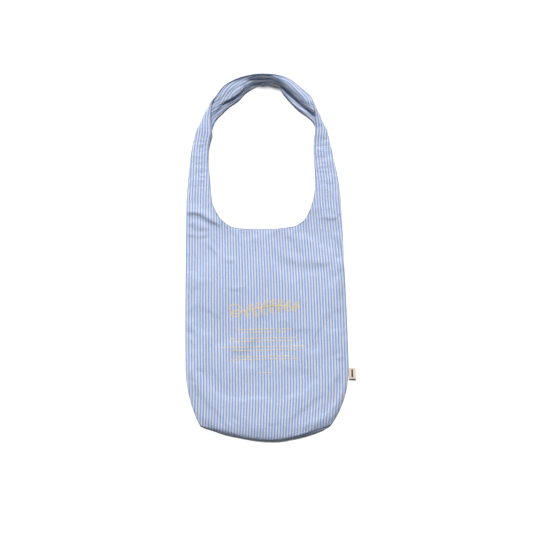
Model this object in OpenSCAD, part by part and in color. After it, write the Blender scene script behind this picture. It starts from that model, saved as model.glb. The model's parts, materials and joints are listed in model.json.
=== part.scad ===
// Lined cotton shoulder bag with one wide loop strap, lying flat on its back.
// The origin is on the face it rests on, +Y runs towards the strap and +Z is up.

/* [Body] */
// Widest part of the body
body_w = 326; // [300:1:350]
// Width of the body where the strap folds
shoulder_w = 308; // [290:1:312]
// Width between the two corners of the base
base_w = 262; // [220:1:270]
// From the middle of the mouth to the middle of the base edge
body_l = 418; // [380:1:440]
// Height of the loosely filled body as it lies
body_h = 16; // [14:1:20]
// Height of the front panel's top face at the middle of the mouth
mouth_h = 10.5; // [10:0.5:12]
// How far the base edge bows out between its corners
base_bow = 28.5; // [15:0.5:35]

/* [Mouth and strap] */
// Width between the strap's two inner edges
mouth_w = 210; // [190:1:220]
// How far the mouth scoops down below the strap fold
scoop = 63; // [50:1:75]
// From the strap fold to the top edge of the loop
strap_l = 250; // [200:1:280]
// Height of the strap's standing edge at the top of the loop
strap_h = 36; // [26:1:44]

/* [Cloth] */
// Thickness that stands for the striped outer cloth
cloth_t = 1.2; // [1:0.1:1.3]
// Thickness that stands for the lining
lining_t = 0.6; // [0.4:0.1:0.7]
// Clear gap between neighbouring layers
gap = 0.3; // [0.2:0.05:0.3]

/* [Label] */
// How far the folded label sticks out of the side seam
label_w = 12.4; // [8:0.2:16]
// Length of the label along the side seam
label_l = 22.4; // [14:0.2:30]
// Height of the label's middle above the lowest middle point of the base edge
label_up = 129; // [90:1:180]

/* [Print] */
// Width of the printed sprig
sprig_w = 140; // [100:1:160]
// Width of the longest printed rule
rule_w = 170; // [120:1:180]
// How far the middle of the print is from the middle of the bag, negative to the left
print_x = -5; // [-15:1:15]

/* [Hidden] */

cloth_colour = [0.62, 0.70, 0.88];
lining_colour = [0.66, 0.72, 0.86];
thread_colour = [0.80, 0.82, 0.90];
print_colour = [0.90, 0.84, 0.62];
label_colour = [0.88, 0.83, 0.74];
bar_colour = [0.25, 0.25, 0.26];

// Body outline
base_y = -body_l/2;
mouth_y = body_l/2;
fold_y = mouth_y + scoop;
corner_y = base_y + base_bow;
widest_up = 120;
widest_y = corner_y + widest_up;
fold_clear = 0.3;
side_power = 2.2;
taper_power = 1.4;
scoop_power = 2.6;
mouth_u = mouth_w/shoulder_w;

// Heights of the front panel's top face
rim_clear = 2;
rim_h = cloth_t + rim_clear + cloth_t;
horn_rise = 2;
horn_h = rim_h + horn_rise;
base_rim_h = 9;
base_rim_power = 6;
side_roll = 50;
base_roll = 30;
mouth_slope_l = 125;
flat_top_y = mouth_y - mouth_slope_l;

// Grid of the body panels
mouth_steps = 8;
roll_steps = 5;
body_rows = 20;

// Seams
seam_w = 2;
seam_gap = 0.05;
seam_start = 0.02;
edge_w = 1;
back_edge_z = 0.2;
back_lining_inset = 10;
corner_trim = 1;
base_seam_reach = 5;
base_seam_t = 0.9;
base_seam_share = 0.9;

// Folded base between the front and the back
fold_in = 48;
base_inset = 6;
base_side_inset = 22;
base_half = base_w/2 - base_side_inset;
base_layer = 0.6;
base_lining_layer = 0.4;
base_layer_gap = 0.2;
base_low_z = cloth_t + gap + lining_t + base_layer_gap;
base_fold_gap = 1.5;

// Strap: stations from the fold to the shoulder seam, drawn at the nominal size
nominal_side = 154;
nominal_hem = 105;
nominal_fold = 272;
nominal_length = 250;
nominal_height = 36;
flat_z = 3.9;
half_drop = 3.2;
strap_rows = 23;
strap_columns = 3;
lining_inset = 0.12;
seam_x = 1.2;
seam_x_gap = 0.2;
strap_seam_r = 0.8;
edge_r = 0.6;
edge_gap = 0.3;
floor_gap = 0.1;
side_line = [
    [154, 272, 3.9], [149, 310, 3.9], [140, 365, 3.9], [130, 410, 4.3],
    [113, 444, 5], [86, 468, 8], [50, 494, 10], [0, 512, 11]
];
front_hem = [
    [105, 272, 5.8], [108, 310, 5.8], [108, 365, 6.2], [107, 410, 9],
    [108, 442, 17], [95, 474, 25], [62, 503, 31], [0, 521, 35.4]
];
back_hem = [
    [105, 272, 0.7], [108, 310, 0.7], [108, 365, 0.7], [105, 408, 1],
    [93, 438, 2], [69, 458, 2.2], [42, 484, 2.2], [0, 505, 2.2]
];

// Label
label_out = 1.2;
label_x = body_w/2 + label_out;
label_y = base_y + label_up;
label_z = 3.2;
label_layer = 0.5;
label_gap = 0.4;
bar_w = 3.4;
bar_l = 16;
bar_t = 0.15;
bar_place = 0.45;

// Print
ink_t = 0.2;
ink_gap = 0.05;
ink_z = body_h + ink_gap;
sprig_y = 54;
sprig_leaves = 7;
leaf_l = sprig_w*0.13;
leaf_w = sprig_w*0.035;
leaf_turn = 50;
rule_t = 1.6;
rule_lines = [
    [12, 0.66], [6, 0.52], [-6, 0.79], [-12, 0.72], [-23, 1],
    [-30, 0.77], [-42, 0.73], [-48, 0.81], [-75, 0.16]
];

// ---- Shared shapes -------------------------------------------------------

// Outline curve of a quarter ellipse, 0 at the edge and 1 once inside it
function roll_up(d) = d >= 1 ? 1 : sqrt(1 - pow(1 - max(d, 0), 2));

// Soft step from 0 to 1
function ease(t) = let (c = min(max(t, 0), 1)) c*c*(3 - 2*c);

// Half the width of the body at a height y
function half_w(y) =
    y < widest_y
        ? body_w/2 - (body_w - base_w)/2*pow((widest_y - y)/(widest_y - corner_y), side_power)
        : body_w/2 - (body_w - shoulder_w)/2*pow((y - widest_y)/(fold_y - widest_y), taper_power);

// Lower and upper ends of the column at u, which runs from -1 to 1 across the body
function low_y(u) = base_y + base_bow*u*u;
function mouth_drop(u) = 1 - pow(1 - pow(min(abs(u)/mouth_u, 1), scoop_power), 1/scoop_power);
function high_y(u) = mouth_y + (scoop - fold_clear)*mouth_drop(u);

// Columns are close together where the mouth and the sides curve most
half_columns = concat(
    [for (i = [1:mouth_steps]) mouth_u*sin(90*i/mouth_steps)],
    [for (i = [1:roll_steps]) mouth_u + (1 - mouth_u)*sin(90*i/roll_steps)]
);
last_column = len(half_columns) - 1;
columns = concat([for (i = [last_column:-1:0]) -half_columns[i]], [0], half_columns);
rows = [for (i = [0:body_rows]) 1 - cos(90*i/body_rows)];

function column_y(u, v) = low_y(u) + v*(high_y(u) - low_y(u));

// Height of the top face down the middle of the bag
function crown_h(y) =
    y < mouth_y
        ? body_h - (body_h - mouth_h)*ease((y - flat_top_y)/(mouth_y - flat_top_y))
        : mouth_h - (mouth_h - horn_h)*ease((y - mouth_y)/scoop);

// Height of the top face at the rim, which lifts along the base
function edge_h(u, v) = rim_h + (base_rim_h - rim_h)*(1 - u*u)*pow(1 - v, base_rim_power);

function top_h(u, v) =
    let (y = column_y(u, v), low = edge_h(u, v))
    low + (crown_h(y) - low)
        *roll_up(half_w(y)*(1 - abs(u))/side_roll)*roll_up((y - low_y(u))/base_roll);

// Point of the front panel, drop below its top face
function panel_point(u, v, drop) =
    let (y = column_y(u, v)) [u*half_w(y), y, top_h(u, v) - drop];

// Closed solid between two matching grids, the first on the side that
// the columns and then the rows wind round anticlockwise
module shell(outer, inner) {
    nr = len(outer);
    nc = len(outer[0]);
    points = concat([for (row = outer) each row], [for (row = inner) each row]);
    below = nr*nc;
    loop = concat(
        [for (j = [0:nc - 1]) j],
        [for (i = [1:nr - 1]) i*nc + nc - 1],
        [for (j = [nc - 2:-1:0]) (nr - 1)*nc + j],
        [for (i = [nr - 2:-1:1]) i*nc]
    );
    count = len(loop);
    faces = concat(
        [for (i = [0:nr - 2], j = [0:nc - 2]) let (a = i*nc + j)
            each [[a, a + nc, a + nc + 1], [a, a + nc + 1, a + 1]]],
        [for (i = [0:nr - 2], j = [0:nc - 2]) let (a = below + i*nc + j)
            each [[a, a + nc + 1, a + nc], [a, a + 1, a + nc + 1]]],
        [for (k = [0:count - 1]) let (a = loop[k], b = loop[(k + 1)%count])
            each [[a, b, b + below], [a, b + below, a + below]]]
    );
    polyhedron(points, faces);
}

// Round thread or turned edge along a line of points
module tube(path, r, sides = 6) {
    last = len(path) - 1;
    rings = [for (i = [0:last])
        let (along = unit(path[min(i + 1, last)] - path[max(i - 1, 0)]),
             side = unit(cross(along, [0, 0, 1])), up = cross(side, along))
        [for (k = [0:sides - 1]) path[i] + r*(side*cos(360*k/sides) + up*sin(360*k/sides))]];
    points = [for (ring = rings) each ring];
    walls = [for (i = [0:last - 1], k = [0:sides - 1])
        let (a = i*sides + k, b = i*sides + (k + 1)%sides)
        each [[a, b, b + sides], [a, b + sides, a + sides]]];
    ends = [[for (k = [sides - 1:-1:0]) k], [for (k = [0:sides - 1]) last*sides + k]];
    polyhedron(points, concat(walls, ends));
}

function unit(v) = v/norm(v);

// ---- Body panels ---------------------------------------------------------

// Outline of the flat back, drawn in by inset from the sides and the base
function side_ys(inset) = [for (v = rows) let (y = column_y(1, v)) if (y > corner_y + inset + corner_trim) y];
function flat_outline(inset) =
    let (ys = side_ys(inset))
    concat(
        [for (u = columns) [u*(half_w(low_y(u)) - inset), low_y(u) + inset]],
        [for (y = ys) [half_w(y) - inset, y]],
        [for (i = [len(columns) - 2:-1:1])
            let (u = columns[i], y = high_y(u), x = u*half_w(y))
            if (abs(x) < half_w(y) - inset - corner_trim/2) [x, y]],
        [for (i = [len(ys) - 1:-1:0]) [inset - half_w(ys[i]), ys[i]]]
    );

module front_panel() {
    color(cloth_colour)
    shell(
        [for (v = rows) [for (u = columns) panel_point(u, v, 0)]],
        [for (v = rows) [for (u = columns) panel_point(u, v, cloth_t)]]
    );
}

module back_panel() {
    color(cloth_colour)
    linear_extrude(cloth_t) polygon(flat_outline(0));
}

module front_lining() {
    drop = cloth_t + gap;
    inner_columns = [for (i = [1:len(columns) - 2]) columns[i]];
    inner_rows = [for (i = [2:len(rows) - 1]) rows[i]];
    color(lining_colour)
    shell(
        [for (v = inner_rows) [for (u = inner_columns) panel_point(u, v, drop)]],
        [for (v = inner_rows) [for (u = inner_columns) panel_point(u, v, drop + lining_t)]]
    );
}

module back_lining() {
    color(lining_colour)
    translate([0, 0, cloth_t + gap]) linear_extrude(lining_t) polygon(flat_outline(back_lining_inset));
}

// Layer of the folded base, from the base edge to the fold inside the bag
module base_layer_shape(reach, height) {
    steps = 16;
    far = base_y + reach;
    edge = [for (i = [-steps:steps]) let (x = base_half*i/steps) [x, low_y(2*x/base_w) + base_inset]];
    linear_extrude(height) polygon(concat(edge, [[base_half, far], [-base_half, far]]));
}

// Two layers and the fold that joins them, thickness t, with a clear gap between
module folded_base(z, t, clear, reach) {
    translate([0, 0, z]) base_layer_shape(reach, t);
    translate([0, 0, z + t + clear]) base_layer_shape(reach, t);
    translate([-base_half, base_y + reach - t, z]) cube([2*base_half, t, 2*t + clear]);
}

module base_panel() {
    color(cloth_colour)
    folded_base(base_low_z + base_lining_layer + base_layer_gap, base_layer, base_fold_gap, fold_in);
}

module base_lining() {
    clear = base_fold_gap + 2*base_layer + 2*base_layer_gap;
    color(lining_colour)
    folded_base(base_low_z, base_lining_layer, clear, fold_in + base_lining_layer + base_layer_gap);
}

// ---- Body seams ----------------------------------------------------------

// Flat strip along the base edge, from low to high at each u
module base_strip(low, high) {
    steps = 20;
    us = [for (i = [-steps:steps]) base_seam_share*i/steps];
    ys = [seam_gap, base_seam_reach];
    color(thread_colour)
    shell(
        [for (d = ys) [for (u = us) [u*base_w/2, low_y(u) + d, high(u)]]],
        [for (d = ys) [for (u = us) [u*base_w/2, low_y(u) + d, low(u)]]]
    );
}

module base_seam_front() {
    under = function (u) edge_h(u, 0) - cloth_t - gap;
    base_strip(function (u) under(u) - base_seam_t, function (u) under(u));
}

module base_seam_back() {
    base_strip(function (u) cloth_t + seam_gap, function (u) cloth_t + base_seam_t/2);
}

// Seam that joins the front to the back up one side of the body
module side_seam(side) {
    low = cloth_t + seam_gap;
    high = rim_h - cloth_t - seam_gap;
    insets = side > 0 ? [seam_w, 0] : [0, seam_w];
    edge = function (v, inset, z) let (y = column_y(1, v)) [side*(half_w(y) - inset), y, z];
    steps = [for (v = rows) if (v > seam_start) v];
    color(thread_colour)
    shell(
        [for (v = steps) [for (d = insets) edge(v, d, high)]],
        [for (v = steps) [for (d = insets) edge(v, d, low)]]
    );
}

// Turned edge round the mouth, outside the ends of the panel and its lining
module mouth_edge(low, high) {
    us = [for (i = [roll_steps:len(columns) - 1 - roll_steps]) columns[i]];
    last = len(us) - 1;
    plan = [for (u = us) let (y = high_y(u)) [u*half_w(y), y]];
    out = [for (i = [0:last])
        let (t = unit(plan[min(i + 1, last)] - plan[max(i - 1, 0)])) [-t[1], t[0]]];
    widths = [seam_gap, edge_w];
    at = function (i, d, z) let (p = plan[i] + d*out[i]) [p[0], min(p[1], fold_y - fold_clear), z];
    color(cloth_colour)
    shell(
        [for (d = widths) [for (i = [0:last]) at(i, d, high(us[i]))]],
        [for (d = widths) [for (i = [0:last]) at(i, d, low(us[i]))]]
    );
}

module mouth_seam_front() {
    depth = cloth_t + gap + lining_t;
    mouth_edge(function (u) top_h(u, 1) - depth, function (u) top_h(u, 1));
}

module mouth_seam_back() {
    mouth_edge(function (u) back_edge_z, function (u) cloth_t + gap + lining_t);
}

// ---- Print ---------------------------------------------------------------

// Leaf between two arcs, its stalk at the origin
module leaf(length, width) {
    r = (length*length/4 + width*width/4)/width;
    rise = r - width/2;
    intersection() {
        translate([length/2, -rise]) circle(r, $fn = 64);
        translate([length/2, rise]) circle(r, $fn = 64);
    }
}

module print_sprig() {
    pitch = sprig_w/(sprig_leaves + 1);
    color(print_colour)
    translate([print_x, sprig_y, ink_z]) linear_extrude(ink_t) {
        translate([-sprig_w/2, -rule_t/2]) square([sprig_w, rule_t]);
        for (i = [1:sprig_leaves], side = [-1, 1])
            translate([-sprig_w/2 + i*pitch, 0]) rotate(side*leaf_turn) leaf(leaf_l, leaf_w);
    }
}

module print_rules() {
    color(print_colour)
    for (line = rule_lines)
        translate([print_x - rule_w*line[1]/2, line[0] - rule_t/2, ink_z])
        cube([rule_w*line[1], rule_t, ink_t]);
}

// ---- Strap ---------------------------------------------------------------

// Station moved from the nominal size to the chosen one, k times as far from the middle
function placed(p, k) = [
    p[0]*k,
    fold_y + fold_clear + (p[1] - nominal_fold)*strap_l/nominal_length,
    p[2] <= flat_z ? p[2] : flat_z + (p[2] - flat_z)*strap_h/nominal_height
];

// Point at s, from 0 to 1, on a smooth curve through the stations, level where it meets its mirror image
function across_middle(p) = [-p[0], p[1], p[2]];
function curve_at(line, s) =
    let (n = len(line) - 1, i = min(floor(s*n), n - 1), f = s*n - i,
         k = line == side_line ? shoulder_w/(2*nominal_side) : mouth_w/(2*nominal_hem),
         a = placed(line[max(i - 1, 0)], k), b = placed(line[i], k), c = placed(line[i + 1], k),
         d = i + 2 > n ? across_middle(placed(line[n - 1], k)) : placed(line[i + 2], k))
    (2*b + (c - a)*f + (2*a - 5*b + 4*c - d)*f*f + (3*b - a - 3*c + d)*f*f*f)/2;

// The curves stop short of the middle, where the shoulder seam is
function strap_at(line, s, lift = 0) =
    let (p = curve_at(line, s)) [max(p[0], seam_x), p[1], p[2] + lift];

strap_steps = [for (i = [0:strap_rows]) i/strap_rows];

// Middle surface of one half of the strap, between two lines and across a to b
function strap_grid(line_a, lift_a, line_b, lift_b, a, b) =
    [for (s = strap_steps)
        let (p = strap_at(line_a, s, lift_a), q = strap_at(line_b, s, lift_b))
        [for (j = [0:strap_columns]) p + (q - p)*(a + (b - a)*j/strap_columns)]];

// Grid moved along its own normals
function offset_grid(g, d) =
    let (nr = len(g) - 1, nc = len(g[0]) - 1)
    [for (i = [0:nr]) [for (j = [0:nc])
        let (across = g[i][min(j + 1, nc)] - g[i][max(j - 1, 0)],
             along = g[min(i + 1, nr)][j] - g[max(i - 1, 0)][j])
        g[i][j] + d*unit(cross(across, along))]];

module strap_sheet(g, middle, t) {
    shell(offset_grid(g, middle + t/2), offset_grid(g, middle - t/2));
}

lining_middle = -(cloth_t/2 + gap + lining_t/2);

module strap_front() {
    color(cloth_colour) strap_sheet(strap_grid(front_hem, 0, side_line, 0, 0, 1), 0, cloth_t);
}

module strap_back() {
    color(cloth_colour) strap_sheet(strap_grid(side_line, -half_drop, back_hem, 0, 0, 1), 0, cloth_t);
}

module strap_front_lining() {
    color(lining_colour)
    strap_sheet(strap_grid(front_hem, 0, side_line, 0, 0, 1 - lining_inset), lining_middle, lining_t);
}

module strap_back_lining() {
    color(lining_colour)
    strap_sheet(strap_grid(side_line, -half_drop, back_hem, 0, lining_inset, 1), lining_middle, lining_t);
}

module strap_side_seam() {
    color(thread_colour) tube([for (s = strap_steps) strap_at(side_line, s, -half_drop/2)], strap_seam_r);
}

// Turned edge just beyond a hem, on the side away from the side seam
module strap_edge(hem, lift) {
    beyond = edge_r + edge_gap;
    path = [for (s = strap_steps)
        let (p = strap_at(hem, s), q = strap_at(side_line, s, lift), r = p + beyond*unit(p - q))
        [r[0], max(r[1], fold_y + fold_clear), max(r[2], edge_r + floor_gap)]];
    color(cloth_colour) tube(path, edge_r);
}

// Seam across the strap, where the left and right straps meet
module shoulder_seam() {
    hem_f = curve_at(front_hem, 1);
    hem_b = curve_at(back_hem, 1);
    side = curve_at(side_line, 1);
    half = seam_x - seam_x_gap;
    steps = [hem_f, side, side - [0, 0, half_drop], hem_b];
    grid = [for (x = [half, -half]) [for (p = steps) [x, p[1], p[2]]]];
    color(thread_colour) strap_sheet(grid, 0, cloth_t);
}

// ---- Label ---------------------------------------------------------------

// Folded tab, its two ends at the side seam
module label_tab() {
    half_t = label_layer + label_gap/2;
    straight = label_w - half_t;
    color(label_colour)
    translate([label_x, label_y + label_l/2, label_z]) rotate([90, 0, 0]) linear_extrude(label_l)
    difference() {
        union() {
            translate([0, -half_t]) square([straight, 2*half_t]);
            translate([straight, 0]) circle(half_t, $fn = 32);
        }
        translate([-1, -label_gap/2]) square([straight + 1, label_gap]);
    }
}

module label_bar() {
    color(bar_colour)
    translate([label_x + label_w*bar_place - bar_w/2, label_y - bar_l/2, label_z + label_layer + label_gap/2])
    cube([bar_w, bar_l, bar_t]);
}

module left() {
    mirror([1, 0, 0]) children();
}

front_panel();
back_panel();
front_lining();
back_lining();
base_panel();
base_lining();
base_seam_front();
base_seam_back();
side_seam(-1);  // side_seam_left
side_seam(1);  // side_seam_right
mouth_seam_front();
mouth_seam_back();
print_sprig();
print_rules();
left() strap_front();  // strap_left_front
left() strap_back();  // strap_left_back
left() strap_front_lining();  // strap_left_front_lining
left() strap_back_lining();  // strap_left_back_lining
left() strap_side_seam();  // strap_left_side_seam
left() strap_edge(front_hem, 0);  // strap_left_front_edge
left() strap_edge(back_hem, -half_drop);  // strap_left_back_edge
strap_front();  // strap_right_front
strap_back();  // strap_right_back
strap_front_lining();  // strap_right_front_lining
strap_back_lining();  // strap_right_back_lining
strap_side_seam();  // strap_right_side_seam
strap_edge(front_hem, 0);  // strap_right_front_edge
strap_edge(back_hem, -half_drop);  // strap_right_back_edge
shoulder_seam();
label_tab();
label_bar();
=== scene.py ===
"""Striped cotton shoulder bag, lying flat on its back.

Shapes are worked out in millimetres in the frame of the CAD part and turned into metres when a mesh is made.
"""

import json
import math

import bmesh
import bpy
import numpy as np
from mathutils import Matrix, Vector
from mathutils.bvhtree import BVHTree


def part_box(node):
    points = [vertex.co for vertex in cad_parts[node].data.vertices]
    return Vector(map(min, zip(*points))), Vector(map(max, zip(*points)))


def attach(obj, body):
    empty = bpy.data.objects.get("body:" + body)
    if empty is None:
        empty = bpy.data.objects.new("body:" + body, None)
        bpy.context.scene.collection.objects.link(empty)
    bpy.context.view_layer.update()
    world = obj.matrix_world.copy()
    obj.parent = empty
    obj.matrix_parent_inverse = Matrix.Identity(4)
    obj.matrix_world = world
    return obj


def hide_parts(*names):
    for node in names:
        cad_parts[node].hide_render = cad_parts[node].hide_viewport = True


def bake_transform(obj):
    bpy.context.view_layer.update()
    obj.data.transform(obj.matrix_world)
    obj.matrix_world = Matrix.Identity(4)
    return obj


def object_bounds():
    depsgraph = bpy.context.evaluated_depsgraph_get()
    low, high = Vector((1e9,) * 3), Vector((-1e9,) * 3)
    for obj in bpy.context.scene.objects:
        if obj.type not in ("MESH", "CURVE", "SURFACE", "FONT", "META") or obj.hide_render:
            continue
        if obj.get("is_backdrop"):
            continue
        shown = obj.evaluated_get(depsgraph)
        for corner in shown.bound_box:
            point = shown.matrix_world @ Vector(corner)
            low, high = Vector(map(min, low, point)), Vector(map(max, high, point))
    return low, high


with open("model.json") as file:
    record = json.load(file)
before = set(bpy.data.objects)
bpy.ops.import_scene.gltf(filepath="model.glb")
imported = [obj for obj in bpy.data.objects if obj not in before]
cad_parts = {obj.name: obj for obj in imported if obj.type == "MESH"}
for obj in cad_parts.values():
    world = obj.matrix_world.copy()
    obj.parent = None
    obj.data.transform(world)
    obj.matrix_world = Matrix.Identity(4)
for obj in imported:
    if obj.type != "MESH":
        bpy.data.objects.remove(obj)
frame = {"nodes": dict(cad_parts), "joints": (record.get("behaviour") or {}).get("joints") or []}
CAD_BOX = [list(corner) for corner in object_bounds()]
MM = 0.001


def box_mm(node):
    """Lowest and highest corner of a CAD node, in millimetres."""
    return [np.array(corner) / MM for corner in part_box(node)]


# ---- Sizes, in millimetres ----

PANEL_LOW, PANEL_HIGH = box_mm("front_panel")
HALF_WIDEST = PANEL_HIGH[0]
BASE_Y = PANEL_LOW[1]
FOLD = next(np.array(j["pos_m"]) / MM for j in frame["joints"] if j["name"] == "strap_fold")
FOLD_Y = FOLD[1]
CROWN = PANEL_HIGH[2] - 0.5
HALF_BASE = 130.0
BASE_LEAN = 4.5
BASE_TILT = 2.2
BASE_RISE = 3.6
HALF_FOLD = 154.0
BASE_BOW = 28.5
CORNER_Y = BASE_Y + BASE_BOW
WIDEST_Y = CORNER_Y + 120
FLAT_TOP_Y = 84.0
MOUTH_DEPTH = 62.0

CLOTH_T = 0.7
LINING_T = 0.4
LINING_DROP = 0.9
LINING_INSET = 1.2
SEAM_Z = 3.0
SEAM_SPLIT = 0.15
HORN_Z = 6.6
MOUTH_Z = 6.4
BACK_Z = 0.4
EDGE_R = 0.85
INK_T = 0.12
TAPE_T = 0.5
TAPE_GAP = 0.35

# Repeat of the stripes, and spacing and counts of the cloth's grids
PITCH = 5.78
STEP = 2.6
HALF_COLUMNS = 26
SUB = 10
FRONT_ROWS = 176
BACK_ROWS = 120
SEAM_ROWS = 8

# Edge of the mouth, from the left fold of the strap to the right one
MOUTH = [
    (-105, 272), (-100, 256.5), (-93, 242), (-82, 228.5), (-65, 217), (-42, 212.8), (0, 210.8),
    (42, 212.6), (62, 216), (78, 225), (89, 240), (95, 254.5), (101, 272),
]

# Sections of the strap from its root to the shoulder seam: the outer edge in plan, the direction
# to the inner side in degrees, and (distance in, height) from the front hem round the side to the back hem
SHOULDER_PROFILE = [(0, 31), (1.8, 28.5), (5, 26), (7.2, 18), (11, 15.6), (13, 7), (17, 2.5)]
LEFT_SECTIONS = [
    ((-154, 272), 0, [(49, 5.8), (33, 6.6), (16, 6.8), (0, 3), (16, 0.8), (33, 0.7), (49, 0.7)]),
    ((-151, 303), 0, [(44.5, 5.8), (29, 6.5), (13, 6.5), (0, 3.2), (13, 0.8), (29, 0.7), (44.5, 0.7)]),
    ((-147, 340), 0, [(38, 6), (25, 6.8), (11, 6.7), (0, 3.4), (11, 0.8), (25, 0.7), (38, 0.7)]),
    ((-141.4, 375), 0, [(33, 7), (21.5, 7.6), (9.5, 7.2), (0, 3.8), (9.5, 0.9), (21.5, 0.8), (33, 0.8)]),
    ((-137, 394), -3, [(32, 9), (20.5, 9.2), (9, 8), (0, 4.4), (9, 1.2), (20.5, 0.9), (32, 1)]),
    ((-131.5, 412.5), -8, [(30, 12), (19.5, 11.5), (8.5, 9.5), (0, 5.2), (8.5, 1.8), (19, 1), (30, 1.2)]),
    ((-118, 442.5), -25, [(17, 13), (9.5, 12), (1.5, 9), (5, 4.8), (12, 3.6), (19.5, 3.2), (27, 1.8)]),
    ((-103.3, 466.4), -37, [(4, 14.5), (0.5, 12.2), (4, 9.6), (14, 9.3), (19, 8), (22.5, 4.5), (31, 3)]),
    ((-89, 482), -45, [(0, 14.6), (1.2, 13.6), (9, 12.6), (19.8, 12.2), (20.6, 6.5), (26, 4.5), (32.5, 3)]),
    ((-70, 502.5), -54, [(0, 16), (1.4, 15), (13, 14), (28.5, 13.5), (29.4, 7.5), (34, 5), (38, 3.5)]),
    ((-42.3, 515), -73, [(0, 19.5), (1.6, 17), (9, 15.5), (20, 14.5), (24, 9), (28, 5), (31, 2.5)]),
    ((-22, 519.7), -84, [(0, 25.5), (2, 22.5), (6, 20), (9, 14), (15, 12.5), (19, 6), (25, 3)]),
    ((2, 521.5), -90, SHOULDER_PROFILE),
]
RIGHT_SECTIONS = [
    ((154, 272), 180, [(53, 5.8), (36, 6.6), (17, 6.8), (0, 3), (17, 0.8), (36, 0.7), (53, 0.7)]),
    ((151.2, 300), 180, [(46.5, 5.8), (31, 6.5), (14, 6.5), (0, 3.2), (14, 0.8), (31, 0.7), (46.5, 0.7)]),
    ((145, 335), 180, [(41, 6), (27, 6.8), (12, 6.7), (0, 3.4), (12, 0.8), (27, 0.7), (41, 0.7)]),
    ((137.7, 371), 180, [(35, 7), (23, 7.6), (10.5, 7.2), (0, 3.8), (10.5, 0.9), (23, 0.8), (35, 0.8)]),
    ((133.5, 390), 180, [(29.5, 9), (19.5, 9.4), (8.5, 8.2), (0, 4.4), (8.5, 1.2), (19, 0.9), (29.5, 1)]),
    ((128.5, 411), 180, [(21.5, 12.5), (14, 12), (5.5, 9.5), (0, 4.6), (7, 1.6), (14, 1), (21.5, 1.4)]),
    ((118, 434), 203, [(11.5, 17), (5, 15), (0, 9), (4, 5), (8, 3.5), (12, 2.4), (18.5, 2.6)]),
    ((108.6, 455.9), 221, [(3.2, 22), (0, 16.5), (5, 15.5), (10.5, 16.5), (13, 8), (17, 2.6), (26, 4)]),
    ((97, 475), 227, [(0, 14), (6, 17.4), (12, 20.5), (18.5, 14.5), (21, 5.5), (25.5, 2.4), (33.5, 5.4)]),
    ((77.3, 492.6), 232, [(0, 16), (5.5, 19.4), (11, 22.5), (17.5, 16.5), (20, 7), (24.5, 2.6), (32, 5.2)]),
    ((55, 510), 240, [(0, 21), (4.5, 24), (9.5, 25.5), (14.5, 19.5), (17, 10), (21.5, 3.4), (26.5, 4.6)]),
    ((41.8, 515.4), 255, [(0, 25), (3, 25.5), (6.5, 24.5), (9.5, 18), (13, 13), (15.5, 5), (18.5, 3.8)]),
    ((21.9, 519.8), 265, [(0, 29), (1.8, 27), (5, 25), (7.4, 17.5), (11, 15), (13, 6.5), (16, 3)]),
    ((2, 521.5), 270, SHOULDER_PROFILE),
]

# Creases pressed into the front: height, half width on the left and on the right of the line, the line
CREASES = [
    (4.2, 9, 3.2, [(-166, 247), (-146, 249), (-126, 245), (-108, 233), (-84, 221)]),
    (-1.6, 5, 6, [(-160, 238), (-130, 234), (-112, 224), (-92, 212)]),
    (1.5, 7, 3.5, [(-84, 156), (-70, 150), (-56, 153)]),
    (1.5, 7, 3.5, [(-76, 98), (-62, 94), (-40, 98)]),
    (1.5, 14, 8, [(16, 178), (34, 160), (66, 148), (104, 142), (140, 146)]),
    (-1.2, 10, 10, [(28, 142), (70, 130), (124, 128)]),
    (1.6, 6, 8, [(152, 150), (142, 90), (138, 40), (144, -20)]),
    (1.2, 5, 7, [(130, 100), (124, 50), (126, 0)]),
    (1.5, 6, 3, [(-122, 190), (-106, 178), (-92, 160)]),
    (1.3, 6, 3, [(-154, 206), (-128, 200), (-108, 206)]),
    (1.2, 6, 3, [(112, 240), (128, 231), (148, 233)]),
    (1.1, 6, 3, [(-150, 262), (-136, 259), (-118, 262)]),
    (1.0, 8, 5, [(-150, 120), (-128, 108), (-104, 112)]),
    (1.1, 9, 5, [(60, 196), (84, 186), (112, 184)]),
    (1.0, 9, 6, [(-150, -60), (-138, -100), (-118, -140)]),
    (1.1, 8, 6, [(148, -60), (128, -104), (104, -150)]),
]


def add_object(name, data):
    """A new object in the scene."""
    obj = bpy.data.objects.new(name, data)
    bpy.context.scene.collection.objects.link(obj)
    return obj


# ---- Curves, noise and outlines ----


def ease(t):
    """From 0 to 1 with a soft start and end."""
    t = np.clip(t, 0, 1)
    return t * t * (3 - 2 * t)


def roll_up(d):
    """A quarter ellipse: 0 at the edge and 1 once inside it."""
    return np.sqrt(1 - (1 - np.clip(d, 0, 1)) ** 2)


def unit(v):
    return v / np.maximum(np.linalg.norm(v, axis=-1, keepdims=True), 1e-9)


def smooth_through(points, params):
    """Points of a centripetal curve through the given ones; a whole param is a given point."""
    p = np.asarray(points, float)
    p = np.vstack([2 * p[0] - p[1], p, 2 * p[-1] - p[-2]])
    knots = np.concatenate([[0], np.cumsum(np.sqrt(np.linalg.norm(np.diff(p, axis=0), axis=1)) + 1e-6)])
    last = len(p) - 4
    i = np.minimum(np.floor(params).astype(int), last)
    f = (params - i)[:, None]
    t0, t1, t2, t3 = (knots[i + k][:, None] for k in range(4))
    p0, p1, p2, p3 = (p[i + k] for k in range(4))
    t = t1 + f * (t2 - t1)

    def between(a, b, start, end):
        return ((end - t) * a + (t - start) * b) / (end - start)

    middle = between(p1, p2, t1, t2)
    before = between(between(p0, p1, t0, t1), middle, t0, t2)
    after = between(middle, between(p2, p3, t2, t3), t1, t3)
    return between(before, after, t1, t2)


def length_along(points):
    """Distance from the first point to each point of a line."""
    return np.concatenate([[0], np.cumsum(np.linalg.norm(np.diff(points, axis=0), axis=1))])


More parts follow.
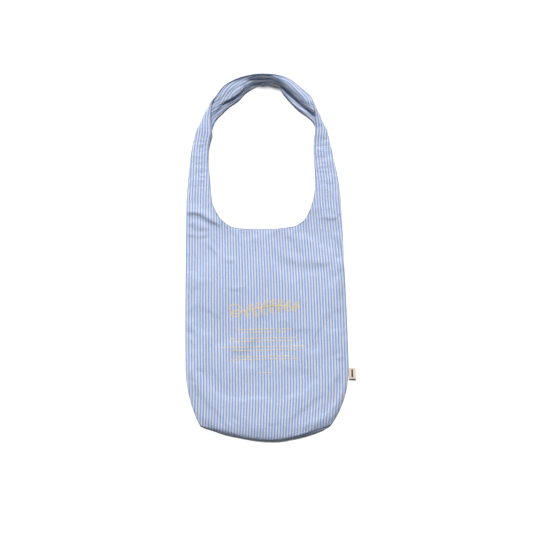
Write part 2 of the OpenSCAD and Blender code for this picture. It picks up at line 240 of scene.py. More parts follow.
def at_distance(stops, s, values):
    """Values between those given at the distances s."""
    return np.stack([np.interp(stops, s, column) for column in values.T], -1)


def resample(points, shares):
    """Points at the given shares of a line's length."""
    s = length_along(points)
    return at_distance(np.asarray(shares) * s[-1], s, points)


def value_noise(x, y, seed):
    """Smooth noise from -1 to 1, one cell for each unit of x and y."""
    size = 256
    lattice = np.random.default_rng(seed).random((size, size)) * 2 - 1
    xi, yi = np.floor(x).astype(int), np.floor(y).astype(int)
    fx, fy = ease(x - xi), ease(y - yi)
    corner = lambda a, b: lattice[(xi + a) % size, (yi + b) % size]
    low = corner(0, 0) * (1 - fx) + corner(1, 0) * fx
    high = corner(0, 1) * (1 - fx) + corner(1, 1) * fx
    return low * (1 - fy) + high * fy


def half_w(y, u=0):
    """Half the width of the body at a height y; the left corner of the base is further out than the right."""
    corner = HALF_BASE - BASE_LEAN * np.sign(u)
    down = np.clip((WIDEST_Y - y) / (WIDEST_Y - CORNER_Y), 0, None)
    up = np.clip((y - WIDEST_Y) / (FOLD_Y - WIDEST_Y), 0, None)
    below = HALF_WIDEST - (HALF_WIDEST - corner) * down ** 2.2
    above = HALF_WIDEST - (HALF_WIDEST - HALF_FOLD) * up ** 1.4
    return np.where(y < WIDEST_Y, below, above)


def beyond(distance, soft=50.0):
    """How far past a line, with a soft start."""
    d = np.clip(distance, 0, None)
    return np.where(d < soft, d * d / (2 * soft), d - soft / 2)


def stripes_at(x, y):
    """Across the cloth at a place on the body: the stripes close in and lean to the left towards the horns,
    run straight through the base's rounded sides and lean a little the other way at its edge."""
    closing = np.where(y > WIDEST_Y, HALF_WIDEST / half_w(y), 1.0) * (1 + 0.00018 * beyond(y - 70))
    return (x * closing + 0.03 * beyond(y - 90) + 0.06 * beyond(-90 - y)
            + 0.0003 * np.clip(x, 0, None) * beyond(-100 - y))


def low_y(u):
    """Lower edge of the body."""
    return BASE_Y + BASE_BOW * u * u - BASE_TILT * u


# ---- Body grids ----

HEM_SHARES = np.sin(np.linspace(0, math.pi / 2, HALF_COLUMNS + 1))
HEM_LEFT = MOUTH[0][0] / HALF_FOLD
HEM_RIGHT = MOUTH[-1][0] / HALF_FOLD


def mouth_line():
    """Evenly spaced points of the mouth's edge, without its two ends."""
    line = smooth_through(MOUTH, np.linspace(0, len(MOUTH) - 1, 40 * len(MOUTH)))
    count = int(length_along(line)[-1] / STEP)
    return resample(line, np.linspace(0, 1, count + 1))[1:-1]


def body_columns():
    """Across the body: u from -1 to 1, and the height at which each column ends."""
    mouth = mouth_line()
    left = HEM_LEFT + (-1 - HEM_LEFT) * HEM_SHARES[::-1]
    right = HEM_RIGHT + (1 - HEM_RIGHT) * HEM_SHARES
    u = np.concatenate([left, mouth[:, 0] / half_w(mouth[:, 1]), right])
    fold = np.full(HALF_COLUMNS + 1, FOLD_Y)
    return u, np.concatenate([fold, mouth[:, 1], fold])


def body_rows(count):
    """Up the body from 0 to 1, close together along the base."""
    near = 0.065
    base = near * (1 - np.cos(np.linspace(0, math.pi / 2, 16)))
    return np.concatenate([base, np.linspace(near, 1, count)[1:]])


def crease_height(x, y):
    """Height that the pressed creases add to the front."""
    total = np.zeros_like(x)
    for height, width_left, width_right, line in CREASES:
        p = smooth_through(line, np.linspace(0, len(line) - 1, 16 * len(line)))
        ahead = unit(np.gradient(p, axis=0))
        near = np.full(x.shape, 1e9)
        share, side = np.zeros_like(x), np.zeros_like(x)
        for k, ((px, py), (ax, ay)) in enumerate(zip(p, ahead)):
            d = np.hypot(x - px, y - py)
            closer = d < near
            share = np.where(closer, k / (len(p) - 1), share)
            side = np.where(closer, ax * (y - py) - ay * (x - px), side)
            near = np.minimum(near, d)
        width = np.where(side > 0, width_left, width_right)
        fade = np.sin(math.pi * np.clip(share, 0, 1)) ** 0.6
        total += height * fade * np.exp(-((near / width) ** 2))
    return total


def ripple_height(x, y):
    """Low uneven waves of loose cloth."""
    broad = 0.55 * value_noise(x / 46, y / 60, 3) + 0.3 * value_noise(x / 21, y / 33, 4)
    upper = ease((y - 90) / 120)
    fine = 0.16 * value_noise(x / 9, y / 7, 5) + 0.1 * value_noise(x / 5, y / 4.2, 6)
    return broad + fine * (0.45 + 0.9 * upper)


def base_rise(u):
    """How far the front's lower edge stands above the seam, more on the right."""
    return BASE_RISE * (1 - u * u) * (1 + 1.1 * u)


def front_height(u, y):
    """Height of the front of the body."""
    side = half_w(y, u) * (1 - np.abs(u))
    base = y - low_y(u)
    crown = CROWN + (MOUTH_Z - CROWN) * ease((y - FLAT_TOP_Y) / (PANEL_HIGH[1] - MOUTH_DEPTH - FLAT_TOP_Y))
    crown = crown + (HORN_Z - MOUTH_Z) * ease((y - 215) / 50)
    side_roll = 46 - 32 * ease((y - 150) / 110)
    side_roll = np.where(u < 0, side_roll - 18 * ease((20 - y) / 60) * ease((y + 150) / 60), side_roll)
    edge = SEAM_Z + SEAM_SPLIT + base_rise(u) * np.exp(-((base / 14) ** 2))
    inside = roll_up(side / side_roll) * roll_up(base / 26)
    return edge + (crown - edge) * inside


def waves(u, y):
    """Creases and ripples, none at the seams."""
    x = u * half_w(y, u)
    side = half_w(y, u) * (1 - np.abs(u))
    ends = ease((y - low_y(u)) / 18) * ease((FOLD_Y - y) / 12)
    return ends * (ease(side / 5) * crease_height(x, y) + ease(side / 16) * ripple_height(x, y))


def back_height(u, y):
    """Height of the back of the body, which lies on the floor."""
    side = half_w(y, u) * (1 - np.abs(u))
    x = u * half_w(y, u)
    lift = (SEAM_Z - SEAM_SPLIT - BACK_Z) * (1 - roll_up(side / 9))
    base = 0.5 * (1 - roll_up((y - low_y(u)) / 8))
    uneven = 0.25 * (1 + value_noise(x / 24, y / 31, 8)) * ease(side / 12)
    return BACK_Z + lift + base + uneven * ease((FOLD_Y - y) / 20) + 0.3 * ease((y - 235) / 35)


def body_grid(height, rows, mouth_inset=0.0):
    """Grid of the body, its columns from left to right and its rows from the base up, and its pattern."""
    u, ends = body_columns()
    v = body_rows(rows)[:, None]
    inset = np.where(ends < FOLD_Y, mouth_inset, 0)
    y = low_y(u) + v * (ends - inset - low_y(u))
    uu = np.broadcast_to(u, y.shape)
    x = uu * half_w(y, uu)
    return np.stack([x, y, height(uu, y)], -1), np.stack([stripes_at(x, y), y], -1)


# ---- Simulated wrinkles ----

# Greatest height of a wrinkle, share of extra cloth, frames, spacing of the grid lines taken, passes of blur
WRINKLE_CAP = 0.95
EXTRA_CLOTH = 0.035
SIM_FRAMES = 26
SIM_STEP = 3
SIM_BLUR = 60


def every(count, step):
    """Each step-th number below count, and the last one."""
    return np.unique(np.append(np.arange(0, count, step), count - 1))


def smoothed(field, passes):
    """A grid of heights blurred over its neighbours."""
    for _ in range(passes):
        p = np.pad(field, 1, mode="edge")
        field = (p[:-2, 1:-1] + p[2:, 1:-1] + p[1:-1, :-2] + p[1:-1, 2:] + 2 * field) / 6
    return field


def simulated_wrinkles(grid):
    """Height that a cloth simulation adds: a sheet too large for its border buckles into wrinkles."""
    picked_rows = every(grid.shape[0], SIM_STEP)
    picked_columns = every(grid.shape[1], SIM_STEP)
    coarse = grid[np.ix_(picked_rows, picked_columns)]
    rows, columns = coarse.shape[:2]
    start = coarse.copy()
    start[1:-1, 1:-1, 2] += 0.8 * value_noise(start[1:-1, 1:-1, 0] / 17, start[1:-1, 1:-1, 1] / 23, 41)
    maker = Maker()
    maker.grid(start * MM, start[..., :2])
    mesh = bpy.data.meshes.new("wrinkle_sheet")
    mesh.from_pydata(maker.points, [], maker.faces)
    sheet = add_object("wrinkle_sheet", mesh)
    border = [i * columns + j for i in range(rows) for j in range(columns)
              if i in (0, rows - 1) or j in (0, columns - 1)]
    sheet.vertex_groups.new(name="border").add(border, 1.0, "REPLACE")
    cloth = sheet.modifiers.new("cloth", "CLOTH")
    cloth.settings.quality = 6
    cloth.settings.mass = 0.1
    cloth.settings.bending_stiffness = 0.6
    cloth.settings.vertex_group_mass = "border"
    cloth.settings.shrink_min = -EXTRA_CLOTH
    cloth.settings.effector_weights.gravity = 0
    cloth.collision_settings.use_collision = False
    cloth.point_cache.frame_end = SIM_FRAMES
    for step in range(1, SIM_FRAMES + 1):
        bpy.context.scene.frame_set(step)
    graph = bpy.context.evaluated_depsgraph_get()
    shape = sheet.evaluated_get(graph).to_mesh()
    after = np.array([v.co.z for v in shape.vertices]).reshape(rows, columns) / MM
    bpy.data.objects.remove(sheet)
    bpy.context.scene.frame_set(1)
    lift = after - coarse[..., 2]
    lift -= smoothed(lift, SIM_BLUR)
    lift = WRINKLE_CAP * np.tanh(lift / WRINKLE_CAP)
    down = at_distance(np.arange(grid.shape[0]), picked_rows, lift)
    return at_distance(np.arange(grid.shape[1]), picked_columns, down.T).T


# ---- Strap grids ----

# How far the stripes slant towards the hem, in degrees, at these distances from the root
LEAN_AT = [0, 40, 80, 120, 150, 190, 320]
LEFT_LEAN = [6, 8, 4, -2, 0, 10, 9]
RIGHT_LEAN = [11, 5, 2, 1, 4, 8, 6]
# Past this distance from the root the strap is gathered lengthwise; nearer, it is crinkled crosswise
GATHERED_FROM = 165
# Height of the puckers on the front and on the back of the strap
FRONT_PUCKER = 0.45
BACK_PUCKER = 0.2


def section_points(section):
    """Points of one section of the strap, from the front hem to the back hem."""
    (x, y), degrees, profile = section
    turn = math.radians(degrees)
    return np.array([[x + t * math.cos(turn), y + t * math.sin(turn), z] for t, z in profile])


def strap_grids(sections):
    """The front and the back half of one strap, each with its columns from the hem to the side."""
    control = np.array([section_points(s) for s in sections])
    middle = control.mean(axis=1)
    spans = np.maximum(2, np.round(np.linalg.norm(np.diff(middle, axis=0), axis=1) / STEP)).astype(int)
    params = np.concatenate([i + np.arange(n) / n for i, n in enumerate(spans)] + [[len(spans)]])
    lines = np.stack([smooth_through(control[:, k], params) for k in range(control.shape[1])], 1)
    across = np.linspace(0, control.shape[1] - 1, SUB * (control.shape[1] - 1) + 1)
    half = (len(across) - 1) // 2
    front, back = [], []
    for row in lines:
        dense = smooth_through(row, across)
        front.append(resample(dense[:half + 1], HEM_SHARES))
        back.append(resample(dense[half:][::-1], HEM_SHARES))
    return np.array(front), np.array(back)


def across_and_along(grid):
    """Distance from the hem at each point of a strap's grid, and distance from the root at each row."""
    return np.array([length_along(row) for row in grid]), length_along(grid[:, HALF_COLUMNS // 2])


def strap_pattern(grid, root, lean):
    """Stripes of the strap, which go on from the body's and slant towards the hem by lean degrees."""
    across, along = across_and_along(grid)
    hem, side = root[0, 0], root[-1, 0]
    scale = (side - hem) / across[0, -1]
    slant = np.radians(np.interp(along, LEAN_AT, lean))
    drift = np.concatenate([[0], np.cumsum(np.tan(slant[1:]) * np.diff(along))])
    u = hem + scale * (across + drift[:, None])
    return np.stack([u, np.broadcast_to(FOLD_Y + along[:, None], u.shape)], -1)


def joined_to(root, grid):
    """The strap's first rows moved so that they leave the body without a step."""
    rows = np.arange(len(grid))[:, None, None]
    return grid + (root - grid[0]) * (1 - ease(rows / 9))


def crumple(grid, seed, amount):
    """Small puckers along the grid's own normals, none at the hem, the side and the root."""
    rows, columns = np.indices(grid.shape[:2])
    calm = ease(rows / 10) * ease((len(grid) - 1 - rows) / 4)
    calm = calm * ease(columns / 3) * ease((HALF_COLUMNS - columns) / 6)
    across, along = across_and_along(grid)
    along = along[:, None]

    def noise(width, length, shift, layer):
        return value_noise(across / width + shift, along / length, seed + layer)

    wave = 0.7 * noise(9, 11, 40, 0) + 0.4 * noise(5, 5, 0, 1)
    gathered = 1.1 * noise(4.5, 17, 80, 2) * ease((along - GATHERED_FROM) / 50)
    crinkled = 0.55 * noise(15, 4.5, 20, 3) * ease(along / 30) * ease((GATHERED_FROM - along) / 50)
    crinkled *= 1 + 1.3 * np.exp(-across / 13)
    return grid + normals_of(grid) * (calm * (amount * wave + gathered + crinkled))[..., None]


def normals_of(grid):
    """Normals of a grid, up where its columns run right and its rows run up."""
    return unit(np.cross(np.gradient(grid, axis=1), np.gradient(grid, axis=0)))


# ---- Meshes ----


class Maker:
    """Collects points, faces and the pattern of one piece."""

    def __init__(self):
        self.points, self.faces, self.pattern = [], [], []

    def grid(self, points, pattern, flip=False):
        rows, columns = points.shape[:2]
        start = len(self.points)
        self.points.extend(points.reshape(-1, 3).tolist())
        self.pattern.extend(pattern.reshape(-1, 2).tolist())
        for i in range(rows - 1):
            for j in range(columns - 1):
                a = start + i * columns + j
                face = [a, a + 1, a + columns + 1, a + columns]
                self.faces.append(face[::-1] if flip else face)

    def tube(self, path, radius, pattern=None, sides=8, out=None, flat=1.0):
        """Closed round tube along a path, with a point at each end."""
        path = np.asarray(path, float)
        radii = np.broadcast_to(radius, len(path))
        along = unit(np.gradient(path, axis=0))
        if out is None:
            side = unit(np.cross(along, [0, 0, 1.0]))
        else:
            side = unit(out - along * np.sum(out * along, -1, keepdims=True))
        up = np.cross(side, along)
        start = len(self.points)
        for i in range(len(path)):
            for k in range(sides):
                angle = 2 * math.pi * k / sides
                offset = radii[i] * (side[i] * math.cos(angle) + flat * up[i] * math.sin(angle))
                self.points.append((path[i] + offset).tolist())
                place = (0.0, 0.0)
                if pattern is not None:
                    place = pattern[i] + side[i][:2] * radii[i] * math.cos(angle) * 1.5
                self.pattern.append(list(place))
        for i in range(len(path) - 1):
            for k in range(sides):
                a, b = start + i * sides + k, start + i * sides + (k + 1) % sides
                self.faces.append([a, a + sides, b + sides, b])
        self.faces.append([start + k for k in range(sides)])
        self.faces.append([start + (len(path) - 1) * sides + k for k in range(sides - 1, -1, -1)])

    def build(self, name, material, weld=False, thickness=0.0, drop=0.0, offset=-1):
        """The finished object, in metres."""
        mesh = bpy.data.meshes.new(name)
        mesh.from_pydata([[c * MM for c in p] for p in self.points], [], self.faces)
        pattern = mesh.attributes.new("pattern", "FLOAT_VECTOR", "POINT")
        flat = np.zeros((len(self.points), 3), np.float32)
        flat[:, :2] = np.array(self.pattern)
        pattern.data.foreach_set("vector", flat.ravel())
        bm = bmesh.new()
        bm.from_mesh(mesh)
        if weld:
            bmesh.ops.remove_doubles(bm, verts=bm.verts, dist=0.00002)
        else:
            bmesh.ops.recalc_face_normals(bm, faces=bm.faces)
        bm.normal_update()
        if drop:
            moved = [v.co - v.normal * drop * MM for v in bm.verts]
            for v, co in zip(bm.verts, moved):
                v.co = co
        bm.to_mesh(mesh)
        bm.free()
        obj = add_object(name, mesh)
        if thickness:
            solid = obj.modifiers.new("thickness", "SOLIDIFY")
            solid.thickness = thickness * MM
            solid.offset = offset
            apply_modifiers(obj)
        obj.data.materials.append(material)
        obj.data.polygons.foreach_set("use_smooth", [True] * len(obj.data.polygons))
        return obj


def apply_modifiers(obj):
    """The object's mesh replaced by what its modifiers make of it."""
    bpy.context.view_layer.update()
    graph = bpy.context.evaluated_depsgraph_get()
    after = obj.evaluated_get(graph)
    mesh = bpy.data.meshes.new_from_object(after, preserve_all_data_layers=True, depsgraph=graph)
    obj.modifiers.clear()
    obj.data = mesh


# ---- Materials ----


class Nodes:
    """Short names for the nodes of one material."""

    def __init__(self, name):
        self.material = bpy.data.materials.new(name)
        self.material.use_nodes = True
        self.tree = self.material.node_tree
        self.shader = self.tree.nodes["Principled BSDF"]

    def put(self, socket, value):
        if isinstance(value, bpy.types.NodeSocket):
            self.tree.links.new(value, socket)
        else:
            socket.default_value = value

    def node(self, kind, *values):
        """A new node, with values or links in its first inputs."""
        node = self.tree.nodes.new("ShaderNode" + kind)
        for socket, value in zip(node.inputs, values):
            self.put(socket, value)
        return node

    def math(self, operation, a, b=0.0, c=0.0):
        node = self.node("Math", a, b, c)
        node.operation = operation
        return node.outputs[0]

    def times(self, a, b):
        return self.math("MULTIPLY", a, b)

    def times_plus(self, a, b, c):
        return self.math("MULTIPLY_ADD", a, b, c)

    def noise(self, place, scale, detail=2.0, z=0.0):
        """Noise from about -0.5 to 0.5, with scale features a millimetre across and along the place."""
        x, y = (self.times(a, b) for a, b in zip(place, scale))
        node = self.node("TexNoise", self.combine(x, y, z))
        node.inputs["Scale"].default_value = 1.0
        node.inputs["Detail"].default_value = detail
        return self.math("SUBTRACT", node.outputs["Fac"], 0.5)

    def combine(self, x, y, z):
        return self.node("CombineXYZ", x, y, z).outputs[0]

    def ramp(self, value, low, high):
        """From 0 to 1 between low and high, with a soft start and end."""
        node = self.node("MapRange", value, low, high)
        node.interpolation_type = "SMOOTHSTEP"
        return node.outputs[0]

    def mix(self, share, a, b, blend="MIX"):
        node = self.node("Mix", share)
        node.data_type = "RGBA"
        node.blend_type = blend
        self.put(node.inputs[6], a)
        self.put(node.inputs[7], b)
        return node.outputs[2]

    def shade(self, colour, share):
        """The colour made lighter or darker by a small share."""
        grey = self.math("ADD", share, 1.0)
        return self.mix(1.0, colour, self.combine(grey, grey, grey), "MULTIPLY")

    def pattern(self):
        """Across and along the cloth, in millimetres."""
        node = self.node("Attribute")
        node.attribute_name = "pattern"
        return self.node("SeparateXYZ", node.outputs["Vector"]).outputs[:2]

    def position(self):
        """The place on the object, in millimetres."""
        place = self.node("TexCoord").outputs["Object"]
        return [self.times(axis, 1000.0) for axis in self.node("SeparateXYZ", place).outputs]

    def finish(self, colour, height, bump, roughness=0.9, sheen=0.15, specular=0.2):
        """The material with this colour, and this height as bump."""
        node = self.node("Bump", bump, 0.0004)
        self.put(node.inputs["Height"], height)
        return self.look({
            "Normal": node.outputs[0], "Base Color": colour, "Roughness": roughness, "Sheen Weight": sheen,
            "Sheen Roughness": 0.6, "Specular IOR Level": specular,
        })

    def look(self, values):
        """The material, with these values or links in its shader."""
        for name, value in values.items():
            self.put(self.shader.inputs[name], value)
        return self.material


def srgb(r, g, b):
    """A colour given as on a screen, from 0 to 255."""
    lin = lambda c: c / 12.92 if c <= 0.04045 else ((c + 0.055) / 1.055) ** 2.4
    return (lin(r / 255), lin(g / 255), lin(b / 255), 1.0)


def weave(n, u, v, yarn=0.55):
    """Height of a plain weave, one yarn over and one under."""
    turn = math.pi / yarn
    return n.times(n.math("SINE", n.times(u, turn)), n.math("SINE", n.times(v, turn)))


def striped_cotton(name, level=0.0, strap=0.06):
    """Blue and off-white stripes with soft uneven edges, slubs and a plain weave; level lightens or darkens
    the whole cloth, and strap adds painted light: it lightens the part that belongs to the strap and its
    horns."""
    n = Nodes(name)
    place = u, v = n.pattern()
    drift = n.noise(place, (0.035, 0.05))
    wobble = n.noise(place, (0.3, 0.12), 3.0, 4.0)
    shifted = n.math("ADD", u, n.times_plus(drift, 0.7, n.times(wobble, 0.5)))
    wave = n.math("COSINE", n.times(shifted, 2 * math.pi / PITCH))
    slub = n.noise(place, (1.6, 0.09), 2.0, 9.0)
    stripe = n.ramp(n.times_plus(slub, 0.9, wave), -0.5, 0.6)
    hue = n.ramp(n.noise(place, (0.22, 0.02), 2.0, 2.0), -0.15, 0.15)
    blue = n.mix(hue, srgb(126, 157, 206), srgb(136, 157, 203))
    white = n.mix(hue, srgb(206, 203, 208), srgb(197, 202, 210))
    colour = n.mix(stripe, white, blue)
    yarn = n.noise(place, (1.9, 0.5), 2.0, 6.0)
    thread = weave(n, u, v)
    tone = n.times_plus(yarn, 0.10, n.times(thread, 0.025))
    broad = n.noise(place, (0.02, 0.016), 2.0, 12.0)
    tone = n.math("ADD", n.times_plus(broad, 0.06, tone), level)
    # Painted light: from the horns up the cloth is made lighter by the share strap, for the brighter light
    # there.
    tone = n.times_plus(n.ramp(v, 215.0, 310.0), strap, tone)
    pucker = n.noise(place, (0.34, 0.24), 3.0, 15.0)
    crinkle = n.noise(place, (0.16, 0.62), 3.0, 21.0)
    height = n.times_plus(thread, 0.22, n.times_plus(pucker, 2.6, n.times(crinkle, 2.4)))
    n.look({"Subsurface Weight": 0.6, "Subsurface Radius": (1.0, 1.0, 1.0), "Subsurface Scale": 0.0012})
    return n.finish(n.shade(colour, tone), height, 0.6)


def thread_material(name, base, dark):
    """Twisted sewing thread."""
    n = Nodes(name)
    x, y, z = n.position()
    twist = n.math("SINE", n.times(n.math("ADD", n.math("ADD", x, y), z), 9.0))
    grain = n.noise((x, y), (1.4, 1.4))
    colour = n.mix(n.ramp(twist, -1.0, 1.0), base, dark)
    return n.finish(n.shade(colour, n.times(grain, 0.12)), twist, 0.4, 0.7)


def print_material():
    """Thin pale gold ink that lets a little of the stripes and the weave through."""
    n = Nodes("print_ink")
    place = u, v = n.pattern()
    wave = n.math("COSINE", n.times(u, 2 * math.pi / PITCH))
    colour = n.mix(n.ramp(wave, -0.5, 0.6), srgb(228, 205, 150), srgb(206, 188, 146))
    worn = n.noise(place, (0.8, 0.8), 3.0)
    height = n.times_plus(worn, 0.6, n.times(weave(n, u, v), 0.2))
    return n.finish(n.shade(colour, n.times(worn, 0.14)), height, 0.4, 0.6, 0.0, 0.3)


def tape_material(name, base, dark, rib):
    """Woven tape with fine ribs across it."""
    n = Nodes(name)
    x, y, _ = n.position()
    ribs = n.math("SINE", n.times(y, 2 * math.pi / rib))
    cross = n.math("SINE", n.times(x, 2 * math.pi / (rib * 1.6)))
    woven = n.times(ribs, cross)
    grain = n.noise((x, y), (0.9, 0.9), 3.0, 3.0)
    colour = n.mix(n.ramp(woven, -1.0, 1.0), base, dark)
    return n.finish(n.shade(colour, n.times(grain, 0.16)), woven, 0.5, 0.85)


def floor_material():
    """Plain white paper."""
    white = (0.93, 0.93, 0.93, 1)
    return Nodes("floor_paper").look({"Base Color": white, "Roughness": 0.9, "Specular IOR Level": 0.0})


CLOTH = striped_cotton("striped_cotton")
# The lining is the same cloth a little darker: painted shade for its faces seen inside the strap's folds.
LINING = striped_cotton("lining_cotton", -0.08)
# A much darker copy of the cloth for the turned edge: painted shade that draws the fine dark line along the
# mouth, less dark on the strap.
PAINTED_SHADE_EDGE = striped_cotton("turned_edge", -0.52, 0.3)
THREAD = thread_material("seam_thread", srgb(206, 214, 234), srgb(168, 182, 216))
INK = print_material()
TAPE = tape_material("label_tape", srgb(228, 215, 196), srgb(206, 190, 168), 0.7)
BAR = tape_material("label_bar_thread", srgb(78, 76, 78), srgb(46, 45, 48), 0.55)

# ---- The cloth pieces ----

FRONT, FRONT_PATTERN = body_grid(lambda u, y: front_height(u, y) + waves(u, y), FRONT_ROWS)
calm = ease((FRONT[..., 2] - SEAM_Z) / 3) * ease((FOLD_Y - FRONT[..., 1]) / 45)
FRONT[..., 2] += simulated_wrinkles(FRONT) * calm
BACK, BACK_PATTERN = body_grid(back_height, BACK_ROWS, 1.0)
LEFT_FRONT, LEFT_BACK = strap_grids(LEFT_SECTIONS)
RIGHT_FRONT, RIGHT_BACK = strap_grids(RIGHT_SECTIONS)


def roots(body):
    """Where the left and the right strap leave the body, each from the hem to the side."""
    return body[-1, :HALF_COLUMNS + 1][::-1], body[-1, -HALF_COLUMNS - 1:]


LEFT_FRONT = crumple(joined_to(roots(FRONT)[0], LEFT_FRONT), 21, FRONT_PUCKER)
RIGHT_FRONT = crumple(joined_to(roots(FRONT)[1], RIGHT_FRONT), 22, FRONT_PUCKER)
LEFT_BACK = crumple(joined_to(roots(BACK)[0], LEFT_BACK), 23, BACK_PUCKER)
RIGHT_BACK = crumple(joined_to(roots(BACK)[1], RIGHT_BACK), 24, BACK_PUCKER)
FRONT_GRIDS = (FRONT, LEFT_FRONT, RIGHT_FRONT)
BACK_GRIDS = (BACK, LEFT_BACK, RIGHT_BACK)


def hem_pulled_in(body, left, right):
    """Copies of the three grids with their free hems drawn in, for a lining."""
    body, left, right = body.copy(), left.copy(), right.copy()
    for strap in (left, right):
        strap[:, 0] += LINING_INSET * unit(strap[:, 1] - strap[:, 0])
    inner = slice(HALF_COLUMNS, -HALF_COLUMNS)
    body[-1, inner] += LINING_INSET * unit(body[-2, inner] - body[-1, inner])
    body[-1, HALF_COLUMNS] = left[0, 0]
    body[-1, -HALF_COLUMNS - 1] = right[0, 0]
    return body, left, right


def cloth_piece(name, grids, patterns, flip, lining=False):
    """One sheet cut in one piece: the body with the left and the right strap."""
    body, left, right = hem_pulled_in(*grids) if lining else grids
    maker = Maker()
    maker.grid(body, patterns[0], flip)
    maker.grid(left[:, ::-1], patterns[1][:, ::-1], flip)
    maker.grid(right, patterns[2], flip)
    if lining:
        return maker.build(name, LINING, weld=True, thickness=LINING_T, drop=LINING_DROP)
    return maker.build(name, CLOTH, weld=True, thickness=CLOTH_T)


def patterns_of(body_pattern, left, right):
    """Patterns of a cloth's three grids, the straps' going on from the body's last row."""
    left_root, right_root = roots(body_pattern)
    left_pattern = strap_pattern(left, left_root, LEFT_LEAN)
    return body_pattern, left_pattern, strap_pattern(right, right_root, RIGHT_LEAN)


FRONT_PATTERNS = patterns_of(FRONT_PATTERN, LEFT_FRONT, RIGHT_FRONT)
BACK_PATTERNS = patterns_of(BACK_PATTERN, LEFT_BACK, RIGHT_BACK)
front_cloth = cloth_piece("front_cloth", FRONT_GRIDS, FRONT_PATTERNS, False)
back_cloth = cloth_piece("back_cloth", BACK_GRIDS, BACK_PATTERNS, True)
front_lining = cloth_piece("front_lining_cloth", FRONT_GRIDS, FRONT_PATTERNS, False, lining=True)
back_lining = cloth_piece("back_lining_cloth", BACK_GRIDS, BACK_PATTERNS, True, lining=True)


# ---- Base ----

BASE_T = 0.5
BASE_LINING_T = 0.35
BASE_SPAN = 0.86
BASE_LOW_Z = 1.9
BASE_LOW_SHARE = 0.16


def folded_base(name, drop, reach, material, thickness):
    """The base, folded inwards between the front and the back; drop opens it around another layer."""
    u = np.linspace(-BASE_SPAN, BASE_SPAN, 90)
    rim = SEAM_Z + base_rise(u)
    # Distance in from the edge, share of the way up from the back's edge to the front's, and lift
    stops = [(0.4, 1.0, -0.4), (6, 0.9, 0), (16, 0.82, 0), (30, 0.76, 0), (reach, 0.66, 0),
             (reach + 1.2, 0.5, 0), (reach, 0.34, 0), (30, 0.26, 0), (16, 0.22, 0), (6, 0.2, 0),
             (0.8, BASE_LOW_SHARE, 0.3)]
    rows = []
    for k, (inward, share, lift) in enumerate(stops):
        open_by = drop * np.sign(share - 0.5)
        z = BASE_LOW_Z + (rim - BASE_LOW_Z) * (share - BASE_LOW_SHARE) / (1 - BASE_LOW_SHARE) + lift + open_by
        ripple = 0.25 * value_noise(u * 12, np.full_like(u, k * 0.7), 31)
        y = low_y(u) + inward + (drop > 0) * 2.0
        rows.append(np.stack([u * HALF_BASE, y, z + ripple * (0 < k < len(stops) - 1)], -1))
    control = np.array(rows)
    params = np.linspace(0, len(stops) - 1, 6 * len(stops))
    grid = np.stack([smooth_through(control[:, j], params) for j in range(control.shape[1])], 1)
    down = np.cumsum(np.ones(grid.shape[:2]), 0) * 1.7
    pattern = np.stack([grid[..., 0] * HALF_WIDEST / HALF_BASE, down], -1)
    maker = Maker()
    maker.grid(grid, pattern)
    return maker.build(name, material, weld=True, thickness=thickness)


base_cloth = folded_base("base_cloth", 0.0, 47, CLOTH, BASE_T)
base_lining = folded_base("base_lining_cloth", 0.9, 48.5, LINING, BASE_LINING_T)


# ---- Edges, seams and stitches ----


def hem_path(body, left, right, k=0):
    """Line along the left strap's hem, the mouth and the right strap's hem, k columns or rows in."""
    return np.vstack([left[::-1, k], body[-1 - k, HALF_COLUMNS + 1:-HALF_COLUMNS - 1], right[:, k]])


def turned_edge(name, grids, patterns, sign):
    """The cloth turned over along the mouth and the strap's hems, in a darker copy of the cloth that paints a
    fine line of shade along the mouth.
    """
    body, left, right = grids
    path = hem_path(*grids)
    out = unit(path - hem_path(*grids, 2))
    n = hem_path(normals_of(body), normals_of(left[:, ::-1])[:, ::-1], normals_of(right)) * sign
    centre = path - n * (CLOTH_T + LINING_T + 0.2) / 2 + out * 0.15
    centre[:, 2] = np.maximum(centre[:, 2], EDGE_R + 0.05)
    maker = Maker()
    maker.tube(centre, EDGE_R, hem_path(*patterns), out=out, sides=10)
    return maker.build(name, PAINTED_SHADE_EDGE)


def stitches(name, path, up, sink):
    """A row of short thread stitches along a line, their ends sunk into the cloth."""
    pitch, long, radius = 3.2, 2.3, 0.2
    s = length_along(path)
    maker = Maker()
    for k in range(int(s[-1] / pitch)):
        stops = (k + 0.5) * pitch + long * np.linspace(-0.5, 0.5, 5)
        arch = np.array([-1, 0.6, 1, 0.6, -1])[:, None] * sink
        points = at_distance(stops, s, path) + at_distance(stops[2], s, up) * arch
        maker.tube(points, radius * np.array([0.5, 1, 1, 1, 0.5]), sides=6)
    return maker.build(name, THREAD)


def side_seam(name, strap, column, inner):
    """Stitches up one side of the body and on along the strap; inner is a column further in."""
    path = np.vstack([FRONT[SEAM_ROWS:, column], strap[1:, -1]])
    out = np.vstack([FRONT[SEAM_ROWS:, column] - FRONT[SEAM_ROWS:, inner], strap[1:, -1] - strap[1:, -7]])
    out[:, 2] = 0
    out = unit(out)
    return stitches(name, path - np.array([0, 0, SEAM_SPLIT]) - out * 0.1, out, 0.12)


def base_seam(name, height, inset):
    """Stitches along the front or the back edge of the base."""
    u = np.linspace(-0.95, 0.95, 160)
    path = np.stack([u * half_w(low_y(u), u), low_y(u) + inset, height(u)], -1)
    out = np.stack([0.3 * u, -np.ones_like(u), 0 * u], -1)
    return stitches(name, path, unit(out), 0.1)


